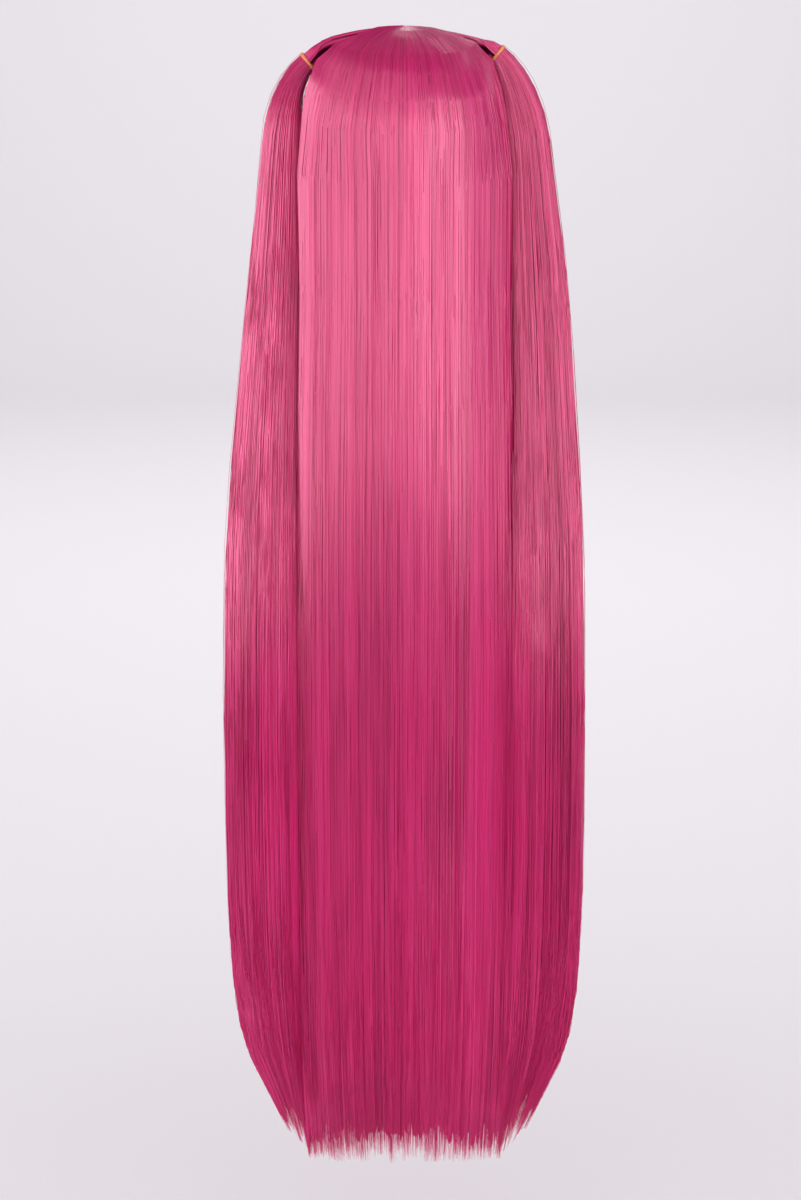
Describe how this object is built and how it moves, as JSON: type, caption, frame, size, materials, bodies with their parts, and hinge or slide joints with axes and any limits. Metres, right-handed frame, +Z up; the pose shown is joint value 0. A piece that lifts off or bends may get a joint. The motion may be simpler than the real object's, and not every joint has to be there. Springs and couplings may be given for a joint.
{
  "type": "cosplay wig",
  "caption": "Very long straight wig with loose back hair, a short fringe and high bunches tied at the sides, on an open wefted cap.",
  "frame": {"origin": "inside of the cap at the crown, where it rests on top of a head", "axes": "+X to the wearer's right, +Y the way the wearer faces, +Z up"},
  "size_m": [0.3485, 0.225, 1.1038],
  "materials": {
    "hair": "smooth synthetic fibre with a silky sheen",
    "cap": "black elastic net with sewn wefts",
    "tie": "orange rubber band, satin"
  },
  "bodies": {
    "root": {"cap": "cap", "back_hair": "hair", "front_hair": "hair", "side_hair_left": "hair", "side_hair_right": "hair", "tail_left": "hair", "tail_right": "hair", "tie_left": "tie", "tie_right": "tie"}
  },
  "joints": []
}
